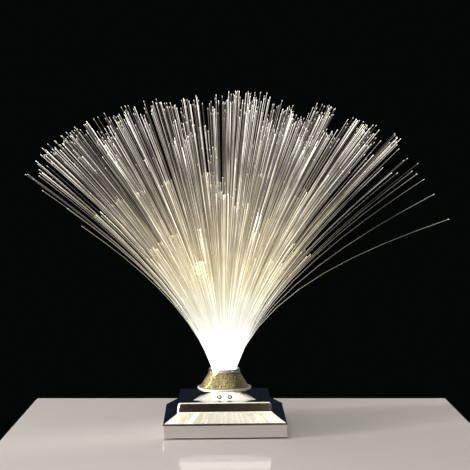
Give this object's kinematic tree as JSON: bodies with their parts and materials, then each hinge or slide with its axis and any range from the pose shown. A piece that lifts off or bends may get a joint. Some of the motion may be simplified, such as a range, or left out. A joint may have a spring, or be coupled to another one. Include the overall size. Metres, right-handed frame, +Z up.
{
  "type": "fiber optic lamp",
  "caption": "Battery-run fiber optic lamp: a spray of lit fibres fans out of a gold collar on a mirror-chrome stepped square base; the spray lifts out.",
  "frame": {"origin": "on the floor under the axis of the spray, the centre of the square base", "axes": "+Z up; -Y towards the front, where the receiver and status lenses are; +X to the right of someone facing the front"},
  "size_m": [0.3014, 0.3014, 0.2506],
  "materials": {
    "chrome": "polished",
    "gold_glitter": "satin",
    "black_plastic": "satin",
    "white_plastic": "satin",
    "rubber": "matte",
    "steel": "satin",
    "cell_sleeve": "satin",
    "circuit_board": "satin",
    "dark_lens": "gloss",
    "red_lens": "gloss",
    "led": "gloss",
    "fibre": "gloss",
    "red_wire": "satin",
    "grey_wire": "satin"
  },
  "bodies": {
    "base": {"base_shell": "chrome", "collar": "gold_glitter", "foot_ring": "chrome", "top_rim": "chrome", "socket_sleeve": "black_plastic", "reflector_cup": "white_plastic", "led_board": "white_plastic", "led_emitter": "led", "ir_receiver": "dark_lens", "status_led": "red_lens", "receiver_board": "circuit_board", "bottom_plate": "black_plastic", "cell_1": "cell_sleeve", "cell_2": "cell_sleeve", "cell_3": "cell_sleeve", "contact_plus": "steel", "contact_bridge_back": "steel", "contact_minus": "steel", "contact_bridge_front": "steel", "foot_1": "rubber", "foot_2": "rubber", "foot_3": "rubber", "foot_4": "rubber", "screw_1": "steel", "screw_2": "steel", "screw_3": "steel", "screw_4": "steel", "control_board": "circuit_board", "control_chip": "black_plastic", "capacitor": "cell_sleeve", "power_socket": "steel", "power_tongue": "black_plastic", "switch_body": "steel", "lead_led": "grey_wire", "lead_receiver": "grey_wire", "lead_plus": "red_wire", "lead_minus": "black_plastic"},
    "spray": {"ferrule": "chrome", "fibres_1": "fibre", "fibres_2": "fibre", "fibres_3": "fibre", "fibres_4": "fibre"},
    "door": {"battery_door": "black_plastic"},
    "knob": {"switch_knob": "black_plastic"}
  },
  "joints": [
    {"name": "spray_lift", "type": "slide", "parent": "base", "child": "spray", "axis": [0, 0, 1], "range_m": [0, 0.03]},
    {"name": "door_swing", "type": "hinge", "parent": "base", "child": "door", "pos_m": [0, 0.02705, 0.0014], "axis": [1, 0, 0], "range_deg": [0, 80]},
    {"name": "switch_slide", "type": "slide", "parent": "base", "child": "knob", "axis": [1, 0, 0], "range_m": [0, 0.0025]}
  ]
}
